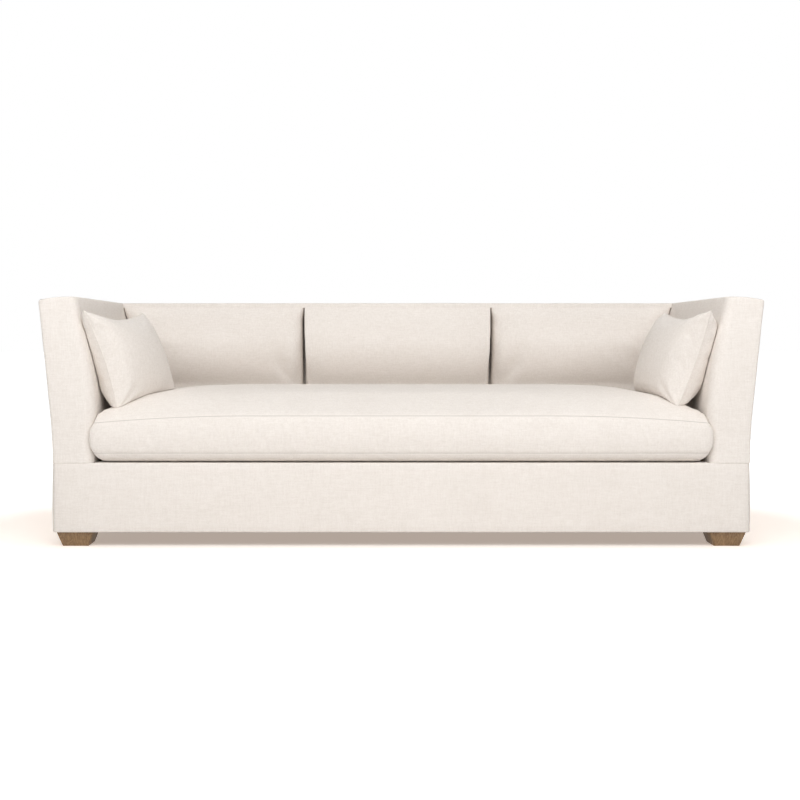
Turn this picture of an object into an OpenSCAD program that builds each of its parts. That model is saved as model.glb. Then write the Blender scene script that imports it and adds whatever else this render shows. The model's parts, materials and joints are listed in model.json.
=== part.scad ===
// Three seat sofa with flared square arms, one long seat cushion, three back cushions,
// two loose square pillows and tapered wooden block feet.
// Millimetres. +Z up, the sofa faces -Y, the origin is on the floor under its middle.

/* [Overall] */
// Width across the tops of the arms
overall_w = 2440; // [2200:10:2700]
// Depth from the seat cushion's front to the top of the outside back
overall_d = 965; // [900:5:1050]
// Height of the arms and back
overall_h = 842; // [780:2:900]

/* [Base] */
// Height of the upholstered base
base_h = 233; // [215:1:260]
// Thickness of the padded cover on the base
border_t = 12; // [8:1:16]
// How far the top of the outside back leans past the base
back_lean = 45; // [20:1:70]
// How far the seat cushion stands out in front of the arms
seat_overhang = 18; // [8:1:30]

/* [Feet] */
// Height of the feet
foot_h = 50; // [30:1:120]
// Side of a foot at its top
foot_top = 122; // [80:1:140]
// Side of a foot at the floor
foot_sole = 88; // [50:1:110]
// Diameter of the studs that hold the feet
stud_d = 8; // [6:1:12]

/* [Arms] */
// Thickness of an arm where it leaves the base
arm_t = 140; // [120:1:180]
// How far the outer face of an arm leans out at its top, past the base
arm_outer_flare = 48; // [20:1:80]
// How far the inner face of an arm leans out at its top
arm_inner_flare = 60; // [20:1:70]
// How far the outer top corner drops below the inner one
arm_top_drop = 12; // [4:1:20]
// Rounding of the arm's soft inner front edge
arm_front_r = 34; // [20:1:38]
// Rounding of the arm's inner top edge
arm_top_r = 20; // [8:1:25]
// Rounding of the arm's crisp outer and top front edges
arm_edge_r = 8; // [4:1:15]

/* [Back] */
// Thickness of the padded back frame
back_t = 62; // [56:1:80]
// Thickness of the back at its top, with the back cushions
back_top_t = 200; // [160:2:240]
// Thickness of the padded band along the top of the back
band_t = 16; // [16:1:24]
// Rounding of the band's front edge
band_r = 8; // [4:1:8]
// How far the face of a back cushion comes forward from its top to the seat
back_rake = 64; // [40:1:90]
// Width of the middle back cushion
center_cushion_w = 740; // [600:5:780]
// Crown of a back cushion's face
back_crown = 10; // [4:1:20]
// Rounding of a back cushion's upright edges
back_edge_r = 36; // [20:1:40]
// How far the foot of a back cushion draws back behind the seat cushion
back_tuck = 90; // [40:1:95]
// Height over which it draws back
back_tuck_h = 150; // [100:1:200]

/* [Seat] */
// Height of the seat cushion's boxing between its seams
seat_boxing = 122; // [90:1:140]
// Height of the lower seam above the underside of the cushion
seat_under = 34; // [20:1:45]
// Crown of the seat cushion above its upper seam
seat_crown = 82; // [40:1:95]
// Bulge of the boxing between its seams
seat_bulge = 6; // [3:1:12]
// Thickness of the foam core
core_t = 120; // [90:1:150]
// Width of the wrap between the core and the cover
core_wrap = 45; // [35:1:70]

/* [Pillows] */
// Width of a pillow between its corners
pillow_w = 384; // [340:1:420]
// Height of a pillow between its corners, as it sits
pillow_h = 318; // [290:1:350]
// Half the thickness of a pillow at its middle
pillow_half_t = 60; // [45:1:66]
// Angle by which a pillow is turned towards the front
pillow_turn = 17.6; // [12:0.2:20]
// Angle by which a pillow leans on the arm
pillow_lean = 8.4; // [6:0.2:12]

/* [Frame] */
// Thickness of the sawn rails and posts
rail_t = 28; // [22:1:34]
// Height of the base rails
rail_h = 185; // [160:1:195]
// Thickness of the covers
cover_t = 3; // [2:0.5:4]
// Thickness of the foam on the arms and back
pad_t = 12; // [8:1:14]
// Height of the top rails
top_rail_h = 60; // [40:1:80]
// Leg of a corner block
block_leg = 140; // [120:1:160]
// Height of a corner block
block_h = 60; // [40:1:80]
// Thickness of the dust cover under the base
dust_t = 2; // [1:0.5:3]

/* [Suspension] */
// Distance between the seat springs
spring_gap = 210; // [150:5:240]
// Diameter of the spring wire
wire_d = 4; // [3:0.2:5]
// Width of a spring across its loops
spring_w = 48; // [35:1:60]
// Length along the spring taken by half a loop
loop_pitch = 32; // [26:1:40]
// Rise of a spring at its middle
spring_rise = 18; // [10:1:20]
// Width of a webbing band
web_w = 60; // [40:1:70]
// Thickness of a webbing band
web_t = 1.5; // [1:0.1:2]
// Distance between the webbing bands
web_gap = 105; // [90:1:130]

/* [Hidden] */

// Clearance between pieces that touch softly
gap = 0.3;
// Clearance between the seat cushion and the arms
seat_gap = 2;
// Clearance between pieces that follow the curve of the back
curve_gap = 0.8;
// Overrun of cuts
over = 5;
// Shares of the arm's height where its outer face leaves the upright and runs straight
outer_curve_shares = [0.01, 0.29];
// Shares of the arm's height where its inner face leaves the upright and runs straight
inner_curve_shares = [0.25, 0.65];
// Heights of the rings of points on the arms and back, as shares of their height
level_shares = [0, 0.01, 0.1, 0.2, 0.3, 0.4, 0.48, 0.56, 0.64, 0.76, 0.88];
// Angles of the points round a wall's top corners
corner_angles = [0, 35, 65, 90];
// Place of the crown's middle points, as a share of the top's half width
crown_share = 0.5;
// Angles of the rings round an edge
edge_angles = [0, 30, 60, 90];
// Diagonal of a square, as a share of its side
diagonal_share = sqrt(2);

base_w = overall_w - 2 * arm_outer_flare;
base_z = foot_h;
base_top = foot_h + base_h;
front_y = seat_overhang - overall_d / 2;
back_y = overall_d / 2 - back_lean;
rail_front = front_y + border_t;
rail_back = back_y - border_t;
rail_side = base_w / 2 - border_t;
rail_z = base_z + dust_t;
rail_top = rail_z + rail_h;
arm_inner = base_w / 2 - arm_t;
post_front = rail_front + rail_t;
post_back = rail_back - rail_t;
pad_in = cover_t + pad_t;
post_inner = arm_inner + pad_in;

white_linen = [0.93, 0.91, 0.88];
linen_shade = [0.88, 0.86, 0.83];
foam = [0.95, 0.93, 0.80];
pine = [0.82, 0.68, 0.46];
birch = [0.86, 0.76, 0.58];
oak = [0.53, 0.41, 0.29];
steel = [0.62, 0.63, 0.65];
jute = [0.68, 0.56, 0.36];
black_cloth = [0.16, 0.16, 0.17];

// Share of a lean reached at height share t, for a curve that starts upright at shares[0]
// and runs straight from shares[1]
function bend(t, shares) =
    (t < shares[0] ? 0
        : t < shares[1] ? pow(t - shares[0], 2) / (2 * (shares[1] - shares[0]))
        : t - (shares[0] + shares[1]) / 2) / (1 - (shares[0] + shares[1]) / 2);
function height_share(z) = (z - base_top) / (overall_h - base_top);
function arm_outer_x(z) =
    base_w / 2 + arm_outer_flare * bend(height_share(z), outer_curve_shares);
function arm_inner_x(z) =
    arm_inner + arm_inner_flare * bend(height_share(z), inner_curve_shares);
function outside_back_y(z) = back_y + back_lean * bend(height_share(z), outer_curve_shares);

// Faces between rings of count points each
function ring_faces(rings, count) = [for (k = [0:rings - 2], i = [0:count - 1]) each
    let (a = k * count + i, b = k * count + (i + 1) % count)
        [[a, b, b + count], [a, b + count, a + count]]];
// The same, with the first and last rings closed by strips between the point i and its
// partner count - 1 - i
function loft_faces(rings, count) = concat(ring_faces(rings, count),
    [for (i = [0:count / 2 - 2]) each
        let (p = count - 1 - i)
            [[i, p, p - 1], [i, p - 1, i + 1]]],
    [for (i = [0:count / 2 - 2]) each
        let (s = (rings - 1) * count, a = s + i, p = s + count - 1 - i)
            [[a, p - 1, p], [a, a + 1, p - 1]]]);
function flat(lists) = [for (l = lists) each l];

// Outline of a leaning wall at inset d from its faces, from the foot of its outer face over
// its top to the foot of its inner face, as [across, height, front rounding].
// low moves the foot down; soft is the rounding of the inner face, crisp that of the rest.
function wall_side(d, low, outer, soft, crisp) = [for (s = level_shares)
    let (z = base_top + s * (overall_h - d - base_top))
    [outer ? arm_outer_x(z) - d : arm_inner_x(z) + d, s == 0 ? z - low : z,
        outer ? crisp : soft]];
function reversed(list) = [for (i = [len(list) - 1:-1:0]) list[i]];
// Rounded corner from an upright face at across x and a top at height z; dir points inwards
function corner(x, z, r, dir, round) = [for (a = corner_angles)
    [x + dir * r * (1 - cos(a)), z - r * (1 - sin(a)), round]];
function arm_top(d, soft, crisp, top_r) = let (
    outer = arm_outer_x(overall_h) - d, inner = arm_inner_x(overall_h) + d,
    high = overall_h - d, low = high - arm_top_drop, half = (outer - inner) / 2)
    concat(corner(outer, low, crisp, -1, crisp),
        [[outer - crown_share * half, low + arm_top_drop * crown_share, crisp],
         [inner + crown_share * half, high - arm_top_drop * pow(crown_share / 2, 3), crisp]],
        reversed(corner(inner, high, top_r, 1, soft)));
function arm_outline(d, low) = let (
    soft = max(arm_front_r - d, gap), crisp = max(arm_edge_r - d, gap),
    top_r = max(arm_top_r - d, gap))
    concat(wall_side(d, low, true, soft, crisp), arm_top(d, soft, crisp, top_r),
        reversed(wall_side(d, low, false, soft, crisp)));

// The arm at inset d from its faces, with its front at depth start, its edges there rounded
// if rounded, and its foot low below the top of the base
module arm_block(d, low, start, rounded) {
    line = arm_outline(d, low);
    count = len(line);
    mid = (arm_inner + base_w / 2) / 2;
    front = rounded ? [for (a = edge_angles) [for (p = line)
        let (in = p[2] * (1 - sin(a)), side = p[0] > mid ? -1 : 1)
        [p[0] + side * in, start + p[2] * (1 - cos(a)),
            p[1] - (p[1] > base_top ? in * height_share(p[1]) : 0)]]]
        : [[for (p = line) [p[0], start, p[1]]]];
    back = [for (p = line) [p[0], outside_back_y(max(p[1], base_top)) - d, p[1]]];
    rings = concat(front, [back]);
    polyhedron(flat(rings), loft_faces(len(rings), count));
}
module on_side(side) {
    if (side < 0) mirror([1, 0, 0]) children();
    else children();
}
module arm_cover(side) {
    color(white_linen) on_side(side) difference() {
        arm_block(0, 0, front_y, true);
        arm_block(cover_t, over, front_y + cover_t, true);
    }
}
module arm_padding(side) {
    color(foam) on_side(side) difference() {
        arm_block(cover_t, 0, front_y + cover_t, true);
        arm_block(pad_in, over, post_front, false);
    }
}

// Upright board cut to the arm's section, standing on a corner block
module arm_post(side, y) {
    line = arm_outline(pad_in + gap, 0);
    color(birch) on_side(side) translate([0, y + rail_t, 0]) rotate([90, 0, 0])
        linear_extrude(rail_t) polygon(concat(
            [[rail_side, rail_z + block_h]], [for (p = line) [p[0], p[1]]],
            [[post_inner, rail_z + block_h]]));
}
arm_rail_l = post_back - post_front - 2 * rail_t;
module arm_bar(x, z, h) {
    translate([x, post_front + rail_t, z]) cube([rail_t, arm_rail_l, h]);
}
module arm_top_rail(side) {
    z = overall_h - arm_top_drop - pad_in - top_rail_h;
    x = (arm_outer_x(z) + arm_inner_x(z)) / 2 - rail_t / 2;
    color(pine) on_side(side) arm_bar(x, z, top_rail_h);
}
module arm_low_rail(side) {
    color(pine) on_side(side) arm_bar(post_inner, rail_top, base_top - rail_top);
}
module side_rail(side) {
    color(pine) on_side(side) arm_bar(rail_side - rail_t, rail_z, rail_h);
}

module long_rail(y) {
    translate([-rail_side, y, rail_z]) cube([2 * rail_side, rail_t, rail_h]);
}
module front_rail() {
    color(pine) long_rail(rail_front);
}
module back_rail() {
    color(pine) long_rail(post_back);
}
// Two rails from front to back that stop the long rails bowing, notched down below the springs
cross_rail_h = rail_h - 4 * wire_d;
module cross_rails() {
    color(pine) for (side = [-1, 1])
        translate([side * post_inner / 3 - rail_t / 2, post_front, rail_z])
            cube([rail_t, post_back - post_front, cross_rail_h]);
}

foot_in = border_t + foot_top / 2;
foot_x = base_w / 2 - foot_in;
foot_front_y = front_y + foot_in;
foot_back_y = back_y - foot_in;
foot_places = [[-foot_x, foot_front_y], [foot_x, foot_front_y], [-foot_x, foot_back_y],
    [foot_x, foot_back_y], [0, 0]];
// Share of a foot's height that its stud goes into
stud_share = 0.6;
stud_low = foot_h * (1 - stud_share);
stud_l = rail_z + block_h - stud_low - 2 * gap;
module foot_holes() {
    for (p = foot_places) translate([p[0], p[1], stud_low])
        cylinder(h = stud_l + over, d = stud_d + 2 * gap, $fn = 32);
}
module foot(index) {
    p = foot_places[index];
    color(oak) difference() {
        translate([p[0], p[1], 0]) rotate([0, 0, 45])
            cylinder(h = foot_h, d1 = foot_sole * diagonal_share, d2 = foot_top * diagonal_share,
                $fn = 4);
        foot_holes();
    }
}
module foot_bolts() {
    color(steel) for (p = foot_places) translate([p[0], p[1], stud_low + gap])
        cylinder(h = stud_l, d = stud_d, $fn = 32);
}
module corner_blocks() {
    color(pine) difference() {
        union() {
            for (sx = [-1, 1], y = [post_front, post_back])
                translate([sx * (rail_side - rail_t), y, rail_z])
                    scale([-sx, y < 0 ? 1 : -1, 1])
                    linear_extrude(block_h)
                    polygon([[0, 0], [block_leg, 0], [0, block_leg]]);
            translate([-post_inner / 3 + rail_t / 2, -block_leg / 2, rail_z])
                cube([2 * post_inner / 3 - rail_t, block_leg, block_h]);
        }
        foot_holes();
    }
}

// Zigzag spring wire: count half loops along y, ring points by a formula
spring_front = rail_front + rail_t / 2;
spring_back = rail_back - rail_t / 2;
spring_z = rail_top + wire_d;
half_loops = floor((spring_back - spring_front) / loop_pitch / 2) * 2;
spring_count = floor((2 * post_inner - spring_w) / spring_gap);
// Angles along a half loop, where the wire turns, and how square its loops are
loop_angles = [30, 90, 150];
loop_power = 0.6;
function spring_point(i) = let (
    along = 180 * floor(i / len(loop_angles)) + loop_angles[i % len(loop_angles)],
    share = along / (180 * half_loops), s = sin(along))
    [spring_w / 2 * sign(s) * pow(abs(s), loop_power),
     spring_front + share * (spring_back - spring_front),
     spring_z + spring_rise * sin(180 * share)];
// Square ring of wire round point p, across the direction t
function wire_ring(p, t) = let (
    d = t / norm(t), side = cross([0, 0, 1], d), u = side / norm(side), v = cross(d, u),
    r = wire_d / 2)
    [p + r * (u + v), p + r * (v - u), p - r * (u + v), p + r * (u - v)];
module spring() {
    turns = half_loops * len(loop_angles);
    path = concat([[-spring_w / 3, spring_front, spring_z]],
        [for (i = [0:turns - 1]) spring_point(i)],
        [[spring_w / 3, spring_back, spring_z]]);
    count = len(path);
    points = flat([for (i = [0:count - 1]) wire_ring(path[i],
        path[min(i + 1, count - 1)] - path[max(i - 1, 0)])]);
    polyhedron(points, loft_faces(count, 4));
}
function spring_x(i) = (i - (spring_count - 1) / 2) * spring_gap;
module seat_springs() {
    color(steel) for (i = [0:spring_count - 1]) translate([spring_x(i), 0, 0]) spring();
}
// Folded clips that hold the springs' ends down on the rails
clip_w = 14;
clip_t = 1.2;
clip_l = 22;
module clip() {
    r = wire_d / 2 + gap;
    rotate([90, 0, 90]) linear_extrude(clip_w, center = true) difference() {
        union() {
            translate([-clip_l / 2, -wire_d]) square([clip_l, clip_t]);
            circle(r + clip_t, $fn = 16);
            translate([-r - clip_t, -wire_d]) square([2 * (r + clip_t), wire_d]);
        }
        circle(r * diagonal_share, $fn = 16);
        translate([0, -r]) square([clip_l, 2 * r]);
    }
}
module spring_clips() {
    color(steel) for (i = [0:spring_count - 1]) translate([spring_x(i), 0, 0]) {
        translate([0, spring_front, spring_z]) clip();
        translate([0, spring_back, spring_z]) mirror([0, 1, 0]) clip();
    }
}

deck_low = spring_z + spring_rise + wire_d / 2 + gap;
roll_d = 2 * rail_t;
module edge_roll() {
    w = 2 * (arm_inner - gap);
    color(foam) translate([-w / 2, rail_front + gap, rail_top + 3 * wire_d]) cube(
        [w, roll_d, base_top - rail_top - 3 * wire_d]);
}
deck_front = rail_front + roll_d + 2 * gap;
deck_back = back_y - back_t - gap;
module seat_deck() {
    w = 2 * (arm_inner - gap);
    color(linen_shade) translate([-w / 2, deck_front, deck_low])
        cube([w, deck_back - deck_front, base_top - deck_low]);
}
module dust_cover() {
    color(black_cloth) difference() {
        translate([-rail_side, rail_front, base_z])
            cube([2 * rail_side, rail_back - rail_front, dust_t]);
        foot_holes();
    }
}

// Padded panels of the base, rounded at the upright corners
module front_border() {
    color(white_linen) translate([0, 0, base_z]) linear_extrude(base_h) union() {
        translate([-base_w / 2 + border_t, front_y]) square([base_w - 2 * border_t, border_t]);
        for (side = [-1, 1]) intersection() {
            translate([side * rail_side, rail_front]) circle(border_t, $fn = 48);
            translate([side < 0 ? -base_w / 2 : rail_side, front_y]) square(border_t);
        }
    }
}
module back_border() {
    color(white_linen) translate([0, 0, base_z]) linear_extrude(base_h) union() {
        translate([-rail_side, rail_back]) square([2 * rail_side, border_t]);
        for (side = [-1, 1]) intersection() {
            translate([side * rail_side, rail_back]) circle(border_t, $fn = 48);
            translate([side < 0 ? -base_w / 2 : rail_side, rail_back]) square(border_t);
        }
    }
}
module side_border(side) {
    color(white_linen) on_side(side) translate([rail_side, rail_front, base_z])
        cube([border_t, rail_back - rail_front, base_h]);
}

// The back: a wall like an arm, run from arm to arm, under a padded band along its top
wall_h = overall_h - band_t - gap;
function back_side(d, low, outer) = [for (s = level_shares)
    let (z = base_top + s * (wall_h - d - base_top))
    [outside_back_y(z) - (outer ? d : back_t - d), s == 0 ? z - low : z]];
function back_line(d, low) = let (
    top_y = outside_back_y(wall_h) - d, r = max(arm_edge_r - d, gap))
    concat(back_side(d, low, true), corner(top_y, wall_h - d, r, -1, 0),
        reversed(corner(top_y - back_t + 2 * d, wall_h - d, r, 1, 0)),
        reversed(back_side(d, low, false)));
module back_block(d, low) {
    line = back_line(d, low);
    rings = [for (side = [1, -1]) [for (p = line)
        [side * (arm_inner_x(max(p[1], base_top)) - gap - d), p[0], p[1]]]];
    polyhedron(flat(rings), loft_faces(2, len(line)));
}
// Padded band over the back and its cushions, rounded at its front and back edges
module back_top_band() {
    half = arm_inner_x(overall_h - band_t) - gap;
    y0 = overall_d / 2 - back_top_t;
    color(white_linen) translate([-half, 0, 0]) rotate([90, 0, 90]) linear_extrude(2 * half)
        union() {
            translate([y0 + band_r, overall_h - band_t])
                square([back_top_t - 2 * band_r, band_t]);
            for (y = [y0 + band_r, overall_d / 2 - band_r]) {
                translate([y, overall_h - band_r]) circle(band_r, $fn = 48);
                translate([y - band_r, overall_h - band_t])
                    square([2 * band_r, band_t - band_r]);
            }
        }
}
module back_cover() {
    color(white_linen) difference() {
        back_block(0, 0);
        back_block(cover_t, over);
    }
}
module back_padding() {
    color(foam) difference() {
        back_block(cover_t, 0);
        back_block(pad_in, over);
    }
}
post_t = back_t - 2 * pad_in - web_t - 2 * curve_gap;
// Places of the back posts: at the arms, and between two springs
outer_post_x = arm_inner - pad_in - gap - rail_t / 2;
inner_post_x = spring_gap * (floor(spring_count / 6) + (spring_count % 2) / 2);
back_post_xs = [-outer_post_x, -inner_post_x, inner_post_x, outer_post_x];
function back_post_edge(front, z) =
    outside_back_y(z) - pad_in - curve_gap - (front ? post_t : 0);
back_post_top = wall_h - pad_in - gap - top_rail_h;
module back_posts() {
    steps = 6;
    zs = [for (i = [0:steps]) rail_top + (back_post_top - rail_top) * i / steps];
    line = concat([for (z = zs) [back_post_edge(false, max(z, base_top)), z]],
        reversed([for (z = zs) [back_post_edge(true, max(z, base_top)), z]]));
    color(pine) for (x = back_post_xs) translate([x - rail_t / 2, 0, 0])
        rotate([90, 0, 90]) linear_extrude(rail_t) polygon(line);
}
module back_bar(z, h) {
    z1 = z + h;
    half = arm_inner_x(z) - pad_in - gap;
    color(pine) translate([-half, 0, 0]) rotate([90, 0, 90]) linear_extrude(2 * half) polygon([
        [back_post_edge(false, z), z], [back_post_edge(false, z1), z1],
        [back_post_edge(true, z1), z1], [back_post_edge(true, z), z]]);
}
module back_top_rail() {
    back_bar(back_post_top, top_rail_h);
}
// The lower rail is let in between the back posts
module back_low_rail() {
    z = base_top - top_rail_h / 3;
    color(pine) difference() {
        back_bar(z, top_rail_h);
        for (x = back_post_xs) translate([x - rail_t / 2, 0, 0])
            cube([rail_t, overall_d, overall_h]);
    }
}
web_count = floor((back_post_top - base_top) / web_gap);
function web_edge(z) = back_post_edge(true, z) - gap;
module back_webbing() {
    color(jute) for (i = [1:web_count]) {
        z = base_top + (i - 0.5) * web_gap;
        half = arm_inner_x(z) - pad_in - gap;
        translate([-half, 0, 0]) rotate([90, 0, 90]) linear_extrude(2 * half) polygon([
            [web_edge(z), z], [web_edge(z + web_w), z + web_w],
            [web_edge(z + web_w) - web_t, z + web_w], [web_edge(z) - web_t, z]]);
    }
}

// Back cushions: a wedge whose face leans back and is tucked in below, crowned and rounded
// at its upright edges
cushion_low = base_top + gap;
cushion_top = wall_h;
seat_top = base_top + gap + seat_under + seat_boxing + seat_crown;
// Places of the rings across a cushion, as shares of its half width between its rounded edges
crown_shares = [-1, -0.75, -0.4, 0, 0.4, 0.75, 1];
// Heights of the points on a cushion's face, as shares of its height
face_shares = [0, 0.06, 0.2, 0.43, 0.445, 0.48, 0.53, 0.59, 0.66, 0.75, 0.88, 1];
// Share of the tuck reached at height z, a quarter of an ellipse
function tuck_share(z) = let (s = max(0, min(1, (seat_top + back_tuck_h - z) / back_tuck_h)))
    1 - sqrt(1 - s * s);
function cushion_face_y(z) = let (top_y = overall_d / 2 - back_top_t)
    top_y - back_rake * min(1, (cushion_top - z) / (cushion_top - seat_top))
        + back_tuck * tuck_share(z);
function cushion_ring(x, in, crown) = concat(
    [for (s = face_shares) let (z = cushion_low + s * (cushion_top - cushion_low))
        [x, cushion_face_y(z) + in - crown * sin(180 * s), z]],
    reversed([for (s = face_shares) let (z = cushion_low + s * (cushion_top - cushion_low))
        [x, outside_back_y(z) - back_t - curve_gap, z]]));
// End of cushion index (-1 left, 0 middle, 1 right) on one side; outer ends follow the arms
function cushion_end(side, index, z) = index * side > 0
    ? side * (arm_inner_x(z) - seat_gap)
    : (index == 0 ? side : index) * center_cushion_w / 2 - side * gap;
function cushion_x(share, z, index) = let (
    a = cushion_end(-1, index, z), b = cushion_end(1, index, z), r = back_edge_r)
    (a + b) / 2 + share * ((b - a) / 2 - r);
function stretched(ring, share, out, index) = [for (p = ring)
    [cushion_x(share, p[2], index) + sign(share) * out, p[1], p[2]]];
module back_cushion_form(index) {
    r = back_edge_r;
    left = [for (a = [90, 60, 30]) stretched(cushion_ring(0, r * (1 - cos(a)), 0), -1,
        r * sin(a), index)];
    mid = [for (s = crown_shares) stretched(
        cushion_ring(0, 0, back_crown * (1 - s * s)), s, 0, index)];
    right = [for (a = [30, 60, 90]) stretched(cushion_ring(0, r * (1 - cos(a)), 0), 1,
        r * sin(a), index)];
    rings = concat(left, mid, right);
    polyhedron(flat(rings), loft_faces(len(rings), 2 * len(face_shares)));
}
// The foam inside a back cushion, a leaning slab
slab_t = 22;
module back_core(index) {
    z0 = cushion_low + core_wrap;
    z1 = cushion_top - core_wrap;
    x0 = cushion_end(-1, index, base_top) + core_wrap;
    x1 = cushion_end(1, index, base_top) - core_wrap;
    color(foam) translate([x0, 0, 0]) rotate([90, 0, 90]) linear_extrude(x1 - x0)
        polygon([for (z = [z0, z1]) each let (y = outside_back_y(z) - back_t - pad_t)
            z == z0 ? [[y, z], [y - slab_t, z]] : [[y - slab_t, z], [y, z]]]);
}
module back_cushion(index) {
    color(white_linen) difference() {
        back_cushion_form(index);
        back_core(index);
    }
}

// Seat cushion: rings of one outline, drawn in at the seams, crowned on top
seat_half = arm_inner - seat_gap;
seat_y0 = -overall_d / 2;
cushion_front = min([for (p = cushion_ring(0, 0, back_crown)) p[1]]);
seat_y1 = cushion_front - seat_gap;
seat_mid = (seat_y0 + seat_y1) / 2;
seat_low = base_top + gap;
seam_low = seat_low + seat_under;
seam_high = seam_low + seat_boxing;
corner_r = 14;
// Shares of the arm's rounded front edge that the cushion's ears fill, across and in depth
ear_share = 0.8;
ear_depth_share = 0.9;
// Half width of the cushion at depth y, filling the arm's rounded front edge
function seat_side(y) = let (r = arm_front_r, c = front_y + r, s = min(r, max(0, c - y)))
    seat_half + (r - sqrt(max(0, r * r - s * s))) * ear_share;
// Places along a side from back to front, and along the front and back, as shares
side_shares = [0, 0.25, 0.5, 0.75];
long_shares = [-0.9, -0.7, -0.45, -0.2, 0, 0.2, 0.45, 0.7, 0.9];
ear_shares = [0, 0.5, 0.8, 1];
function seat_right() = let (flare_y = front_y + arm_front_r,
    ear_y = flare_y - arm_front_r * ear_depth_share, ear_x = seat_side(ear_y),
    ear_r = ear_y - seat_y0)
    concat(
        [for (a = [60, 30, 0]) [seat_half - corner_r + corner_r * cos(a),
            seat_y1 - corner_r + corner_r * sin(a)]],
        [for (s = side_shares) let (y = seat_y1 - corner_r - s * (seat_y1 - corner_r - flare_y))
            if (s > 0) [seat_half, y]],
        [for (s = ear_shares) let (y = flare_y - s * (flare_y - ear_y)) [seat_side(y), y]],
        [for (a = [30, 60]) [ear_x - ear_r + ear_r * cos(a), ear_y - ear_r * sin(a)]]);
function mirrored_x(list) = [for (p = reversed(list)) [-p[0], p[1]]];
function seat_outline() = let (right = seat_right())
    concat(right,
        [for (s = reversed(long_shares)) [s * seat_half, seat_y0]],
        mirrored_x(right),
        [for (s = long_shares) [s * seat_half, seat_y1]]);
// Ring of the outline at inset d and height z
function seat_ring(d, z) = let (hx = seat_half, hy = (seat_y1 - seat_y0) / 2)
    [for (p = seat_outline())
        [p[0] * (1 - d / hx), seat_mid + (p[1] - seat_mid) * (1 - d / hy), z]];
// Rings of the top, as shares of the way from its upper seam to its middle
crown_ring_shares = [0.02, 0.06, 0.14, 0.26, 0.42, 0.62, 0.86];
// How steeply the top rises from its seam
crown_power = 2.6;
function crown_z(share) = seam_high + seat_crown * (1 - pow(1 - share, crown_power));
module seat_form() {
    hy = (seat_y1 - seat_y0) / 2;
    rings = concat(
        [seat_ring(3 * seat_bulge, seat_low), seat_ring(2 * seat_bulge, seat_low + seat_bulge),
            seat_ring(seat_bulge, seam_low), seat_ring(seat_bulge / 3,
            seam_low + seat_boxing / 4), seat_ring(0, seam_low + seat_boxing / 2),
            seat_ring(seat_bulge / 3, seam_high - seat_boxing / 4),
            seat_ring(seat_bulge, seam_high)],
        [for (s = crown_ring_shares) seat_ring(seat_bulge + s * hy, crown_z(s))]);
    count = len(rings[0]);
    last = (len(rings) - 1) * count;
    centres = [[0, seat_mid, seat_low], [0, seat_mid, crown_z(1)]];
    faces = concat(ring_faces(len(rings), count),
        [for (i = [0:count - 1]) [(i + 1) % count, i, last + count]],
        [for (i = [0:count - 1]) [last + i, last + (i + 1) % count, last + count + 1]]);
    polyhedron(concat(flat(rings), centres), faces);
}
core_low = seat_low + seat_under;
zip_l = 1200;
zip_h = 8;
zip_t = 4;
module seat_cushion_core() {
    color(foam) translate([-seat_half + core_wrap, seat_y0 + core_wrap, core_low])
        cube([2 * (seat_half - core_wrap), seat_y1 - seat_y0 - 2 * core_wrap, core_t]);
}
zip_z = seam_low + seat_boxing / 3;
// The cover's opening behind the zip, through which the core goes in
module zip_slot() {
    translate([-zip_l / 2 - gap, seat_y1 - core_wrap - over, zip_z - gap])
        cube([zip_l + 2 * gap, core_wrap + 2 * over, zip_h + 2 * gap]);
}
module seat_cushion_cover() {
    color(white_linen) difference() {
        seat_form();
        seat_cushion_core();
        zip_slot();
    }
}
module seat_cushion_zip() {
    color(steel) translate([-zip_l / 2, seat_y1 - 2 * zip_t, zip_z])
        cube([zip_l, zip_t, zip_h]);
}

// Pillow: a square with drawn in sides and pointed corners, thick in its middle
pillow_steps = 14;
insert_steps = 6;
// Half the gap between its two faces at the seam
seam_half = 1.5;
// How far its sides are drawn in, its upper edge moved along and its outer lower corner
// lifted, as shares of its half width and height, and the power of its plumpness
pinch_share = 0.07;
skew_share = 0.2;
drop_share = 0.14;
plump_share = 0.55;
function pillow_point(u, v, side, scale_share) = let (
    wide = pillow_w / 2 * scale_share, high = pillow_h / 2 * scale_share,
    thick = pillow_half_t * scale_share * pow((1 - u * u) * (1 - v * v), plump_share))
    [wide * (u * (1 - pinch_share * (1 - v * v)) - skew_share * v),
     side * (seam_half * scale_share + thick),
     high * (v * (1 - pinch_share * (1 - u * u)) + drop_share * u * (1 - v) / 2)];
function pillow_grid(n, side, scale_share) = [for (j = [0:n], i = [0:n])
    pillow_point(2 * i / n - 1, 2 * j / n - 1, side, scale_share)];
function rim(n) = concat([for (i = [0:n - 1]) i], [for (j = [0:n - 1]) j * (n + 1) + n],
    [for (i = [n:-1:1]) n * (n + 1) + i], [for (j = [n:-1:1]) j * (n + 1)]);
module pillow_form(n, scale_share) {
    size = (n + 1) * (n + 1);
    r = rim(n);
    count = len(r);
    faces = concat(
        [for (j = [0:n - 1], i = [0:n - 1]) each let (a = j * (n + 1) + i, b = a + n + 1)
            [[a, b, b + 1], [a, b + 1, a + 1],
             [size + a, size + b + 1, size + b], [size + a, size + a + 1, size + b + 1]]],
        [for (k = [0:count - 1]) each let (a = r[k], b = r[(k + 1) % count])
            [[a, b, size + b], [a, size + b, size + a]]]);
    polyhedron(concat(pillow_grid(n, -1, scale_share), pillow_grid(n, 1, scale_share)), faces);
}
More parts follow.
